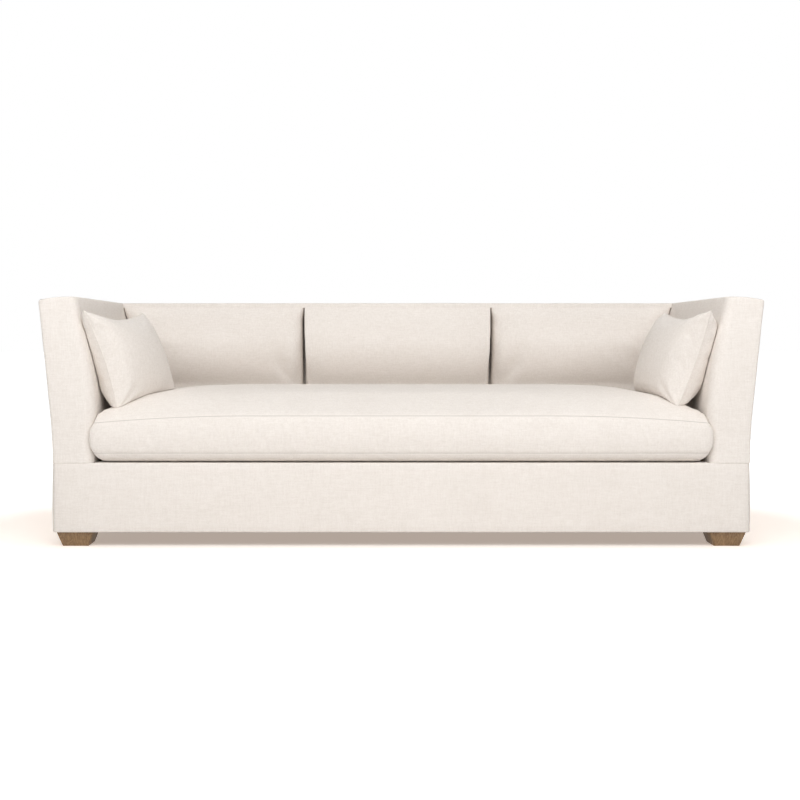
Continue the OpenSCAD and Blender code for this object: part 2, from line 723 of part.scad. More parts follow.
// Places a pillow against the arm on one side, with its lower edge on the seat
pillow_in = 65;
pillow_back = 250;
pillow_up = 118;
module place_pillow(side) {
    on_side(side) translate([arm_inner - pillow_in, front_y + pillow_back, seat_top + pillow_up])
        rotate([0, 0, 90 + pillow_turn]) rotate([pillow_lean, 0, 0]) children();
}
insert_share = 0.93;
module pillow_insert(side) {
    color(foam) place_pillow(side) pillow_form(insert_steps, insert_share);
}
module pillow_cover(side) {
    color(white_linen) place_pillow(side) difference() {
        pillow_form(pillow_steps, 1);
        pillow_form(insert_steps, insert_share);
    }
}

front_rail();
back_rail();
side_rail(-1);  // side_rail_left
side_rail(1);  // side_rail_right
cross_rails();
corner_blocks();
arm_post(-1, post_front);  // arm_front_post_left
arm_post(1, post_front);  // arm_front_post_right
arm_post(-1, post_back - rail_t);  // arm_back_post_left
arm_post(1, post_back - rail_t);  // arm_back_post_right
arm_top_rail(-1);  // arm_top_rail_left
arm_top_rail(1);  // arm_top_rail_right
arm_low_rail(-1);  // arm_low_rail_left
arm_low_rail(1);  // arm_low_rail_right
back_posts();
back_top_rail();
back_low_rail();
seat_springs();
spring_clips();
back_webbing();
edge_roll();
seat_deck();
dust_cover();
front_border();
side_border(-1);  // side_border_left
side_border(1);  // side_border_right
back_border();
arm_padding(-1);  // arm_padding_left
arm_padding(1);  // arm_padding_right
arm_cover(-1);  // arm_cover_left
arm_cover(1);  // arm_cover_right
back_padding();
back_cover();
back_top_band();
back_cushion(-1);  // back_cushion_left
back_cushion(0);  // back_cushion_center
back_cushion(1);  // back_cushion_right
back_core(-1);  // back_core_left
back_core(0);  // back_core_center
back_core(1);  // back_core_right
seat_cushion_cover();
seat_cushion_core();
seat_cushion_zip();
pillow_cover(-1);  // pillow_left_cover
pillow_insert(-1);  // pillow_left_insert
pillow_cover(1);  // pillow_right_cover
pillow_insert(1);  // pillow_right_insert
foot(0);  // foot_front_left
foot(1);  // foot_front_right
foot(2);  // foot_back_left
foot(3);  // foot_back_right
foot(4);  // foot_center
foot_bolts();
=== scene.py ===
"""Long sofa with flared square arms, one seat cushion, a back of three cushions and two
loose pillows.

Metres. The sofa faces -Y, +Z is up, and the floor is at zero.
"""

import bpy
import bmesh
import json
import math
from mathutils import Matrix, Vector, noise
from mathutils.bvhtree import BVHTree


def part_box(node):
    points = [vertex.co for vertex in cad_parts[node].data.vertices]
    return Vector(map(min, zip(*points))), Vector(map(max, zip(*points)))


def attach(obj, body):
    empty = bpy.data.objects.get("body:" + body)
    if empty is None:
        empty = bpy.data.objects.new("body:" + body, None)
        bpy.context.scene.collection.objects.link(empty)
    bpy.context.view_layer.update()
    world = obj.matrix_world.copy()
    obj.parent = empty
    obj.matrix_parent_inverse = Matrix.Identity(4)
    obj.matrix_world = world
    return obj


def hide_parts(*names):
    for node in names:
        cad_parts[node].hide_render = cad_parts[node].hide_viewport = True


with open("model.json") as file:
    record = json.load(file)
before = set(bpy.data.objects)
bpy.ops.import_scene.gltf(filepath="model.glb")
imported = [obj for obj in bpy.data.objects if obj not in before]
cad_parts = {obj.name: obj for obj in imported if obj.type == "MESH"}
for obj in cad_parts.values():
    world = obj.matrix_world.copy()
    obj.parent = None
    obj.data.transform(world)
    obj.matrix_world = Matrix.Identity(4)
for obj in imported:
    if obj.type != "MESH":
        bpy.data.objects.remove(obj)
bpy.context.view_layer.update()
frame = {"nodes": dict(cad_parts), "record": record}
axis_x, axis_y, axis_z = range(3)

# ---------------------------------------------------------------- sizes of the sofa

base_low, base_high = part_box("front_border")
arm_low, arm_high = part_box("arm_cover_right")
band_low, band_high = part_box("back_top_band")
middle_low, middle_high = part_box("back_cushion_center")
seat_box_low, seat_box_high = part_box("seat_cushion_cover")

base_half = base_high.x
base_top = base_high.z
base_bottom = base_low.z
border_depth = 0.012
front_y = base_low.y
back_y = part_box("back_border")[1].y
top = arm_high.z

# The outer faces of the arms and of the back leave the upright just over the base; the inner
# faces of the arms do so higher up. Each pair is where a lean starts and where it is straight.
outer_bend = (0.01, 0.29)
inner_bend = (0.25, 0.65)
arm_outer_flare = arm_high.x - base_half
arm_inner_flare = 0.060
arm_inner_foot = arm_low.x
arm_drop = 0.012
arm_edge = 0.034
back_lean = arm_high.y - back_y
back_frame_depth = 0.062

cushion_top = middle_high.z
cushion_bottom = middle_low.z
face_top_y = band_low.y
face_rake = 0.064
tuck_depth = 0.098
tuck_height = 0.172
tuck_power = 1.8
cushion_split = 0.370
slit = 0.0014
slit_opening = 0.006
beside_arm = 0.0012

seat_crest = 0.5213
seat_half = 1.030
seat_front = seat_box_low.y
seat_back = seat_box_high.y
seat_bottom = seat_box_low.z
lower_seam = 0.3173
upper_seam = 0.4413


def leaned(t, start, straight):
    """Share of a lean reached at share t of the height: upright up to start, then a curve
    that runs straight from straight on."""
    whole = 1 - (start + straight) / 2
    if t < start:
        return 0.0
    if t < straight:
        return (t - start) ** 2 / (2 * (straight - start)) / whole
    return (t - (start + straight) / 2) / whole


def height_share(z):
    """Share of the height from the base's top to the arms' top."""
    return (z - base_top) / (top - base_top)


def arm_outer(z):
    return base_half + arm_outer_flare * leaned(height_share(z), *outer_bend)


def arm_inner(z):
    return arm_inner_foot + arm_inner_flare * leaned(height_share(z), *inner_bend)


def outside_back(z):
    return back_y + back_lean * leaned(height_share(z), *outer_bend)


def cushion_face(z):
    """Depth of a back cushion's face: it leans back, and its foot is tucked in."""
    below = min(1, max(0, (seat_crest + tuck_height - z) / tuck_height))
    return (face_top_y - face_rake * min(1, (cushion_top - z) / (cushion_top - seat_crest))
            + tuck_depth * below ** tuck_power)


def eased(t):
    """0 to 1 with a soft start and a soft end."""
    t = min(1, max(0, t))
    return t * t * (3 - 2 * t)


# ---------------------------------------------------------------- materials


def material(name):
    """A new material with its node tree and its shader."""
    made = bpy.data.materials.new(name)
    made.use_nodes = True
    tree = made.node_tree
    shader = tree.nodes["Principled BSDF"]
    return made, tree, shader


def feed(tree, socket, value):
    """Links another node's output to an input, or sets it."""
    if isinstance(value, bpy.types.NodeSocket):
        tree.links.new(value, socket)
    else:
        socket.default_value = value


def node(tree, kind, settings=None, **inputs):
    """A node whose inputs are numbers or other nodes' outputs."""
    made = tree.nodes.new(kind)
    for key, value in (settings or {}).items():
        setattr(made, key, value)
    for key, value in inputs.items():
        feed(tree, made.inputs[key.replace("_", " ")], value)
    return made


def maths(tree, operation, *values):
    """The result of one step of arithmetic on outputs and numbers."""
    made = node(tree, "ShaderNodeMath", {"operation": operation})
    for socket, value in zip(made.inputs, values):
        feed(tree, socket, value)
    return made.outputs[0]


def place(tree, scale):
    """Object coordinates, stretched by scale."""
    found = node(tree, "ShaderNodeTexCoord").outputs["Object"]
    return node(tree, "ShaderNodeMapping", Vector=found, Scale=scale).outputs[0]


def grain(tree, scale, detail=2.0, roughness=0.5):
    """Noise of that many marks to a metre along each axis."""
    return node(tree, "ShaderNodeTexNoise", Vector=place(tree, scale), Scale=1.0,
                Detail=detail, Roughness=roughness).outputs["Fac"]


def sums(tree, *weighted):
    """Weighted sum of (value, weight) pairs."""
    parts = [maths(tree, "MULTIPLY", value, weight) for value, weight in weighted]
    total = parts[0]
    for part in parts[1:]:
        total = maths(tree, "ADD", total, part)
    return total


def ranged(tree, value, low, high, to_low=0.0, to_high=1.0):
    """The value moved from one range of numbers to another."""
    made = node(tree, "ShaderNodeMapRange", Value=value)
    for key, number in (("From Min", low), ("From Max", high), ("To Min", to_low),
                        ("To Max", to_high)):
        made.inputs[key].default_value = number
    return made.outputs[0]


def blended(tree, share, first, second):
    """Colour from first to second by share."""
    made = node(tree, "ShaderNodeMix", {"data_type": "RGBA"})
    tree.links.new(share, made.inputs[0])
    for index, value in ((6, first), (7, second)):
        feed(tree, made.inputs[index], (*value, 1) if isinstance(value, tuple) else value)
    return made.outputs[2]


def threads(tree, pitch):
    """Woven threads across each axis, so that every face shows two sets of them."""
    bands_to_a_metre = 0.3142
    rows = []
    for axis in "XYZ":
        wave = node(tree, "ShaderNodeTexWave", {"bands_direction": axis, "wave_type": "BANDS"},
                    Vector=place(tree, (1, 1, 1)), Scale=bands_to_a_metre / pitch,
                    Distortion=1.2, Detail=1.0)
        wave.inputs["Detail Scale"].default_value = 40
        rows.append((wave.outputs["Fac"], 1 / 3))
    return sums(tree, *rows)


def streaks(tree, along, across, detail):
    """Marks drawn out along each axis: so many to a metre along it and across it."""
    scales = [tuple(along if i == axis else across for i in range(3)) for axis in range(3)]
    return sums(tree, *[(grain(tree, scale, detail=detail), 1 / 3) for scale in scales])


def seam_line(tree, names, half_width):
    """1 on the seams whose distances are kept in these attributes of the mesh."""
    solid_share = 0.3
    found = 0.0
    for name in names:
        away = node(tree, "ShaderNodeAttribute", {"attribute_name": name}).outputs["Fac"]
        away = maths(tree, "ABSOLUTE", away)
        line = ranged(tree, away, low=half_width, high=half_width * solid_share)
        found = maths(tree, "MAXIMUM", found, line)
    return found


def make_linen(name, pale, shade, seams=()):
    """Plain woven linen: fine threads, thicker ones here and there, and a faint crosshatch.
    Given seams, it is darkened along them: painted shade in the sunk seam.
    """
    made, tree, shader = material(name)
    weave = threads(tree, pitch=0.0011)
    slub = streaks(tree, along=45, across=520, detail=1.0)
    cross = streaks(tree, along=32, across=190, detail=2.0)
    broad = grain(tree, (6, 6, 6), detail=1.0)
    tone = sums(tree, (weave, 0.10), (slub, 0.75), (cross, 1.30), (broad, 0.20))
    tone = ranged(tree, tone, low=0.88, high=1.44)
    colour = blended(tree, tone, shade, pale)
    height = sums(tree, (weave, 0.35), (slub, 0.9), (cross, 0.3))
    if seams:
        line = seam_line(tree, seams, half_width=0.0018)
        # Darker along the seams: painted shade in the sunk seam, which the bump below also
        # sinks.
        seam_painted_shade = 0.80
        colour = blended(tree, line, colour, tuple(seam_painted_shade * c for c in shade))
        height = sums(tree, (height, 1.0), (line, -2.0))
    tree.links.new(colour, shader.inputs["Base Color"])
    bump = node(tree, "ShaderNodeBump", Height=height, Strength=0.5, Distance=0.0005)
    tree.links.new(bump.outputs[0], shader.inputs["Normal"])
    shader.inputs["Roughness"].default_value = 0.92
    shader.inputs["Specular IOR Level"].default_value = 0.22
    shader.inputs["Sheen Weight"].default_value = 0.06
    shader.inputs["Sheen Roughness"].default_value = 0.55
    return made


def make_cloth(name, dark, pale, pitch):
    """A plain coarse cloth."""
    made, tree, shader = material(name)
    weave = threads(tree, pitch)
    speck = grain(tree, (300, 300, 300), detail=2.0)
    share = ranged(tree, sums(tree, (weave, 0.6), (speck, 0.5)), low=0.35, high=0.75)
    tree.links.new(blended(tree, share, dark, pale), shader.inputs["Base Color"])
    bump = node(tree, "ShaderNodeBump", Height=weave, Strength=0.5, Distance=0.0005)
    tree.links.new(bump.outputs[0], shader.inputs["Normal"])
    shader.inputs["Roughness"].default_value = 0.95
    shader.inputs["Specular IOR Level"].default_value = 0.2
    return made


def make_foam():
    """Yellowish foam with small open cells."""
    made, tree, shader = material("foam")
    cells = node(tree, "ShaderNodeTexVoronoi", Vector=place(tree, (900, 900, 900)),
                 Scale=1.0).outputs["Distance"]
    cloud = grain(tree, (30, 30, 30), detail=2.0)
    share = ranged(tree, sums(tree, (cells, 0.5), (cloud, 0.6)), low=0.2, high=0.8)
    tree.links.new(blended(tree, share, (0.86, 0.80, 0.58), (0.93, 0.89, 0.70)),
                   shader.inputs["Base Color"])
    bump = node(tree, "ShaderNodeBump", Height=cells, Strength=0.5, Distance=0.0006)
    tree.links.new(bump.outputs[0], shader.inputs["Normal"])
    shader.inputs["Roughness"].default_value = 0.95
    return made


def make_wood(name, dark, pale, along, pores, rough):
    """Sawn or planed wood whose grain runs along one axis. pores says how dark its pores
    stand out."""
    made, tree, shader = material(name)

    def marks(across_the_grain, along_the_grain):
        return tuple(along_the_grain if i == along else across_the_grain for i in range(3))

    ring_step = 0.055
    figure = grain(tree, marks(34, 3.5), detail=3.0, roughness=0.55)
    rings = maths(tree, "PINGPONG", figure, ring_step)
    rings = ranged(tree, rings, low=0.0, high=ring_step)
    pore = grain(tree, marks(900, 22), detail=2.0)
    cloud = grain(tree, marks(18, 3), detail=1.0)
    tone = sums(tree, (rings, 0.42), (pore, pores), (cloud, 0.6))
    share = ranged(tree, tone, 0.25 + 0.3 * pores, 0.75 + 0.6 * pores)
    tree.links.new(blended(tree, share, dark, pale), shader.inputs["Base Color"])
    bump = node(tree, "ShaderNodeBump", Height=pore, Strength=0.35, Distance=0.0004)
    tree.links.new(bump.outputs[0], shader.inputs["Normal"])
    tree.links.new(ranged(tree, pore, 0.3, 0.7, rough + 0.08, rough - 0.06),
                   shader.inputs["Roughness"])
    return made


def make_metal(name, colour, rough):
    """Bare metal with fine scratches lengthwise."""
    made, tree, shader = material(name)
    scratch = grain(tree, (60, 900, 900), detail=2.0)
    tree.links.new(blended(tree, scratch, tuple(0.85 * c for c in colour), colour),
                   shader.inputs["Base Color"])
    tree.links.new(ranged(tree, scratch, 0.3, 0.7, rough - 0.08, rough + 0.08),
                   shader.inputs["Roughness"])
    shader.inputs["Metallic"].default_value = 1.0
    return made


linen_pale = (0.900, 0.848, 0.800)
linen_shade = (0.785, 0.727, 0.672)
linen = make_linen("linen", linen_pale, linen_shade)
seamed_linen = make_linen("linen_with_seams", linen_pale, linen_shade,
                          seams=("upper_seam", "lower_seam"))
deck_cloth = make_cloth("deck_cloth", (0.66, 0.62, 0.57), (0.71, 0.67, 0.62), pitch=0.0012)
dust_cloth = make_cloth("dust_cloth", (0.012, 0.012, 0.013), (0.04, 0.04, 0.042), pitch=0.0015)
jute = make_cloth("jute", (0.27, 0.17, 0.08), (0.52, 0.38, 0.20), pitch=0.003)
foam = make_foam()
oak_upright = make_wood("oak", (0.150, 0.083, 0.035), (0.365, 0.232, 0.118), axis_z,
                        pores=0.55, rough=0.42)
pine_across, pine_deep, pine_upright = [
    make_wood("pine_" + word, (0.52, 0.34, 0.16), (0.74, 0.56, 0.33), along,
              pores=0.15, rough=0.6)
    for word, along in (("across", axis_x), ("deep", axis_y), ("upright", axis_z))]
birch_board = make_wood("birch_board", (0.60, 0.45, 0.27), (0.80, 0.66, 0.46), axis_z,
                        pores=0.2, rough=0.55)
steel = make_metal("steel", (0.56, 0.57, 0.59), rough=0.38)
zip_metal = make_metal("zip_metal", (0.62, 0.60, 0.55), rough=0.32)

material_of_slot = {"linen": linen, "foam": foam, "deck_cloth": deck_cloth,
                    "dust_cloth": dust_cloth, "jute": jute, "plywood": birch_board,
                    "oak": oak_upright, "steel": steel, "zip": zip_metal}


def pine_for(name):
    """Pine whose grain runs along that rail or post."""
    if name.startswith(("side_rail", "cross", "arm_top", "arm_low")):
        return pine_deep
    return pine_upright if name == "back_posts" else pine_across


for part in frame["record"]["subparts"]:
    name, slot_name = part["node"], part["material_slot"]
    finish_of_node = pine_for(name) if slot_name == "pine" else material_of_slot[slot_name]
    mesh = frame["nodes"][name].data
    mesh.materials.clear()
    mesh.materials.append(finish_of_node)

# ---------------------------------------------------------------- making pieces


def block(bm, low, high):
    """A box from its lowest to its highest corner."""
    low, high = Vector(low), Vector(high)
    size = Matrix.Diagonal((*(high - low), 1))
    bmesh.ops.create_cube(bm, size=1, matrix=Matrix.Translation((low + high) / 2) @ size)


def near(a, b, reach=1e-4):
    return abs(a - b) < reach


def edges_where(bm, test=lambda co: True, level=()):
    """Edges whose two ends pass the test and agree on the axes named in level."""
    return [e for e in bm.edges if all(test(v.co) for v in e.verts)
            and all(near(e.verts[0].co[axis], e.verts[1].co[axis]) for axis in level)]


def upright_edges(bm, test=lambda co: True):
    return edges_where(bm, test, level=(axis_x, axis_y))


def rim_edges(bm, z, level=()):
    """Edges round a piece at height z."""
    return edges_where(bm, lambda co: near(co.z, z), level)


def rounded(bm, edges, radius, steps):
    bmesh.ops.bevel(bm, geom=edges, offset=radius, segments=steps, profile=0.5,
                    affect="EDGES", material=-1, clamp_overlap=True)


def cut_across(bm, axis, places):
    """New edges all round the piece where planes across that axis meet it."""
    direction = Vector([i == axis for i in range(3)])
    for place_on_axis in places:
        bmesh.ops.bisect_plane(bm, geom=bm.verts[:] + bm.edges[:] + bm.faces[:], dist=1e-6,
                               plane_co=direction * place_on_axis, plane_no=direction)


def closed_loop(bm, points):
    """Edges from each point to the next and back to the first."""
    return [bm.edges.new((points[i - 1], points[i])) for i in range(len(points))]


def spread(low, high, count):
    """Even places between two ends, without the ends."""
    return [low + (high - low) * (i + 1) / (count + 1) for i in range(count)]


def sewn_edge(bm, faces):
    """A sunk seam round a panel: the faces are drawn in, down and back up."""
    width, depth = 0.0024, 0.0008
    for step in (-depth, depth):
        bmesh.ops.inset_region(bm, faces=faces, thickness=width / 2, depth=step,
                               use_even_offset=True, use_boundary=True)


def mirrored(bm):
    """The left piece from the right one."""
    bmesh.ops.transform(bm, matrix=Matrix.Scale(-1, 4, (1, 0, 0)), verts=bm.verts)
    bmesh.ops.reverse_faces(bm, faces=bm.faces)


def mesh_from(bm, name):
    """The mesh in bm, its faces turned outwards."""
    bmesh.ops.recalc_face_normals(bm, faces=bm.faces)
    mesh = bpy.data.meshes.new(name)
    bm.to_mesh(mesh)
    bm.free()
    return mesh


def new_object(name, data):
    """An object in the scene."""
    made = bpy.data.objects.new(name, data)
    bpy.context.scene.collection.objects.link(made)
    return made


def piece(name, bm, finish, body, replaced=(), sharp=40):
    """An object from bm, riding on a body, standing for CAD nodes."""
    mesh = mesh_from(bm, name)
    made = new_object(name, mesh)
    mesh.materials.append(finish)
    mesh.shade_smooth()
    mesh.set_sharp_from_angle(angle=math.radians(sharp))
    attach(made, body)
    if replaced:
        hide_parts(*replaced)
    return made


def wavy(co, reach, size, seed=0.0):
    """A smooth small offset that differs from place to place."""
    return reach * noise.noise(co / size + Vector((seed, 2.3 * seed, -seed)))


# ---------------------------------------------------------------- base and feet


def make_base():
    """The padded cover round the base, one strip with soft corners."""
    bm = bmesh.new()
    block(bm, (-base_half, front_y, base_bottom), (base_half, back_y, base_top))
    bmesh.ops.delete(bm, geom=[f for f in bm.faces if abs(f.normal.z) > 0.9],
                     context="FACES_ONLY")
    rounded(bm, upright_edges(bm), radius=0.016, steps=5)
    corner, flat_corner, puff, about_square = 0.02, 0.05, 0.0022, 1.2
    cut_across(bm, axis_z, spread(base_bottom, base_top, 9))
    cut_across(bm, axis_x, spread(-base_half + corner, base_half - corner, 59))
    cut_across(bm, axis_y, spread(front_y + corner, back_y - corner, 21))
    for v in bm.verts:
        share = (v.co.z - base_bottom) / (base_top - base_bottom)
        out = puff * math.sin(math.pi * share) + wavy(v.co, reach=0.0009, size=0.11)
        edge = min(base_half - abs(v.co.x), flat_corner) / flat_corner
        if near(v.co.y, front_y) or near(v.co.y, back_y):
            v.co.y += math.copysign(out * edge, v.co.y)
        elif near(abs(v.co.x), base_half):
            v.co.x += math.copysign(out, v.co.x)
    bmesh.ops.recalc_face_normals(bm, faces=bm.faces)
    bmesh.ops.solidify(bm, geom=bm.faces[:], thickness=border_depth)
    rims = [e for e in edges_where(bm, level=(axis_z,))
            if (near(e.verts[0].co.z, base_top) or near(e.verts[0].co.z, base_bottom))
            and len(e.link_faces) == 2 and e.calc_face_angle(0) > about_square]
    rounded(bm, rims, radius=0.0045, steps=3)
    made = piece("base_cover", bm, linen, "frame",
                 ("front_border", "side_border_left", "side_border_right", "back_border"))


def make_foot(node_name):
    """A tapered oak block with eased edges."""
    low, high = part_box(node_name)
    bm = bmesh.new()
    block(bm, low, high)
    middle = (low + high) / 2
    sole_share = 88 / 122
    for v in bm.verts:
        if near(v.co.z, low.z):
            v.co.x = middle.x + (v.co.x - middle.x) * sole_share
            v.co.y = middle.y + (v.co.y - middle.y) * sole_share
    rounded(bm, bm.edges[:], radius=0.0022, steps=3)
    piece(node_name + "_block", bm, oak_upright, "frame", (node_name,), sharp=50)


# ---------------------------------------------------------------- arms and back


def arm_form(inset, front_round, rim_round):
    """A square arm, drawn in by inset, still upright."""
    bm = bmesh.new()
    inner, outer = arm_inner_foot + inset, base_half - inset
    start, end, high = front_y + inset, back_y - inset, top - inset
    block(bm, (inner, start, base_top), (outer, end, high))
    rounded(bm, upright_edges(bm, lambda co: near(co.x, inner) and near(co.y, start)),
            radius=front_round, steps=9)
    rounded(bm, upright_edges(bm, lambda co: near(co.x, outer)), radius=rim_round, steps=3)
    rounded(bm, rim_edges(bm, high), radius=rim_round, steps=4)
    below_rim, beside_rim = 0.012, 0.01
    cut_across(bm, axis_z, spread(base_top, high - below_rim, 26))
    cut_across(bm, axis_x, spread(inner + front_round, outer - beside_rim, 6))
    cut_across(bm, axis_y, spread(start + front_round, end - beside_rim, 17))
    return bm


def flared(bm, side):
    """Leans the arm's faces out and drops its outer top edge. The faces wave a little, more
    and more over the lowest sixth of their height."""
    drop_reach, drop_power, wave_rise = 0.12, 2.6, 6
    for v in bm.verts:
        x, y, z = v.co
        out = (x - arm_inner_foot) / (base_half - arm_inner_foot)
        back = (y - front_y) / (back_y - front_y)
        v.co.x = arm_inner(z) + out * (arm_outer(z) - arm_inner(z))
        v.co.y = y + back * (outside_back(z) - back_y)
        v.co.z = z - (arm_drop * max(0, out) ** drop_power
                      * eased((z - top + drop_reach) / drop_reach))
        v.co.x += (wavy(v.co, reach=0.0008, size=0.13, seed=side)
                   * eased(height_share(z) * wave_rise))
    if side < 0:
        mirrored(bm)


def make_arm(side):
    """A padded arm: upright at its foot, flared above, its inner front edge soft."""
    cover_depth, foam_depth = 0.0035, 0.011
    word = "left" if side < 0 else "right"
    bm = arm_form(inset=0, front_round=arm_edge, rim_round=0.0085)
    sewn_edge(bm, [f for f in bm.faces if f.normal.z > 0.999])
    flared(bm, side)
    made = piece("arm_" + word, bm, linen, "frame", ("arm_cover_" + word,))
    bm = arm_form(inset=cover_depth, front_round=0.030, rim_round=0.006)
    bmesh.ops.delete(bm, geom=[f for f in bm.faces if f.normal.z < -0.9], context="FACES")
    flared(bm, side)
    bmesh.ops.recalc_face_normals(bm, faces=bm.faces)
    bmesh.ops.solidify(bm, geom=bm.faces[:], thickness=foam_depth)
    made = piece("arm_foam_" + word, bm, foam, "frame", ("arm_padding_" + word,))


def make_outside_back():
    """The panel between the arms, seen from behind."""
    off_the_arm, flat_side, rim = 0.0003, 0.06, 0.01
    bm = bmesh.new()
    half = arm_inner_foot - off_the_arm
    block(bm, (-half, back_y - back_frame_depth, base_top), (half, back_y, cushion_top))
    rounded(bm, rim_edges(bm, cushion_top), radius=0.006, steps=3)
    cut_across(bm, axis_z, spread(base_top, cushion_top - rim, 24))
    cut_across(bm, axis_x, spread(-half, half, 41))
    sewn_edge(bm, [f for f in bm.faces if f.normal.y > 0.999])
    for v in bm.verts:
        x, y, z = v.co
        v.co.x = x / half * (arm_inner(z) - off_the_arm)
        v.co.y = y + outside_back(z) - back_y
        if near(y, back_y, 0.001):
            v.co.y += (wavy(v.co, reach=0.0009, size=0.16)
                       * eased((half - abs(x)) / flat_side))
    made = piece("outside_back", bm, linen, "frame", ("back_cover",))


def make_top_band():
    """The narrow padded band along the top of the back and over its cushions."""
    bm = bmesh.new()
    lap = Vector((0, 0.0004, 0.003))
    rim, upper_side, wave = 0.01, 0.004, 0.0006
    block(bm, band_low - lap, band_high)
    rounded(bm, rim_edges(bm, band_high.z, level=(axis_y,)), radius=0.0070, steps=5)
    cut_across(bm, axis_x, spread(band_low.x, band_high.x, 79))
    cut_across(bm, axis_y, spread(band_low.y + rim, band_high.y - rim, 5))
    for v in bm.verts:
        if v.co.z > band_high.z - upper_side:
            v.co.z += wavy(v.co, wave, size=0.12) - wave
    made = piece("top_band", bm, linen, "frame", ("back_top_band",))


# ---------------------------------------------------------------- stuffed pieces


def remeshed(bm, voxel):
    """The form in bm as an even skin of small squares."""
    form = new_object("form", mesh_from(bm, "form"))
    squares = form.modifiers.new("squares", "REMESH")
    squares.mode = "VOXEL"
    squares.voxel_size = voxel
    squares.adaptivity = 0
    graph = bpy.context.evaluated_depsgraph_get()
    skin = bpy.data.meshes.new_from_object(form.evaluated_get(graph))
    bpy.data.objects.remove(form)
    return skin


def smoothed(mesh, rounds):
    bm = bmesh.new()
    bm.from_mesh(mesh)
    for _ in range(rounds):
        bmesh.ops.smooth_vert(bm, verts=bm.verts, factor=0.5, use_axis_x=True,
                              use_axis_y=True, use_axis_z=True)
    bm.to_mesh(mesh)
    bm.free()


def filled(mesh, held, pressure, slack, cap, kept_in):
    """Blows the skin up against its own cloth. held gives how firmly a point is held, slack
    how much too large the cloth is cut, cap is how far a point may move, and kept_in moves one
    back into its cushion's space."""
    first_frame, last_frame = 1, 20
    start = [v.co.copy() for v in mesh.vertices]
    skin = new_object("skin", mesh)
    group = skin.vertex_groups.new(name="held")
    for v in mesh.vertices:
        group.add([v.index], held(v.co), "REPLACE")
    cloth = skin.modifiers.new("cloth", "CLOTH")
    cloth.settings.effector_weights.gravity = 0
    cloth.settings.quality = 5
    cloth.settings.mass = 0.3
    cloth.settings.tension_stiffness = 12
    cloth.settings.compression_stiffness = 12
    cloth.settings.bending_stiffness = 0.6
    cloth.settings.vertex_group_mass = "held"
    cloth.settings.shrink_min = -slack
    cloth.settings.use_pressure = True
    cloth.settings.uniform_pressure_force = pressure
    cloth.collision_settings.use_self_collision = False
    cloth.point_cache.frame_start = first_frame
    cloth.point_cache.frame_end = last_frame
    scene = bpy.context.scene
    for moment in range(first_frame, last_frame + 1):
        scene.frame_set(moment)
    graph = bpy.context.evaluated_depsgraph_get()
    blown = [v.co.copy() for v in skin.evaluated_get(graph).data.vertices]
    skin.modifiers.clear()
    scene.frame_set(first_frame)
    bpy.data.objects.remove(skin)
    for v, a, b in zip(mesh.vertices, start, blown):
        move = b - a
        if move.length > cap:
            move *= cap / move.length
        v.co = a + move
    for v in mesh.vertices:
        v.co = kept_in(v.co.copy())
    mesh.update()


def stuffed_piece(name, mesh, finish, body, replaced, seams=None,
                  groove=None):
    """The finished cushion: one subdivision, then its seams."""
    made = new_object(name, mesh)
    finer = made.modifiers.new("finer", "SUBSURF")
    finer.levels = finer.render_levels = 1
    graph = bpy.context.evaluated_depsgraph_get()
    fine = bpy.data.meshes.new_from_object(made.evaluated_get(graph))
    made.modifiers.clear()
    made.data = fine
    fine.name = name
    if groove:
        facing = [v.normal.copy() for v in fine.vertices]
        for v, normal in zip(fine.vertices, facing):
            v.co += groove(v.co.copy(), normal)
    for key, distance in (seams or {}).items():
        layer = fine.attributes.new(key, "FLOAT", "POINT")
        for v in fine.vertices:
            layer.data[v.index].value = distance(v.co)
    fine.materials.clear()
    fine.materials.append(finish)
    fine.shade_smooth()
    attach(made, body)
    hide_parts(*replaced)
    return made


# ---------------------------------------------------------------- back cushions


def slit_end(z):
    """Inner end of the right cushion, whose slit opens below its top corner."""
    opening_height = 0.05
    return cushion_split + slit + slit_opening * eased((cushion_top - z) / opening_height)


def arm_end(z):
    """Outer end of the right cushion."""
    return arm_inner(z) - beside_arm


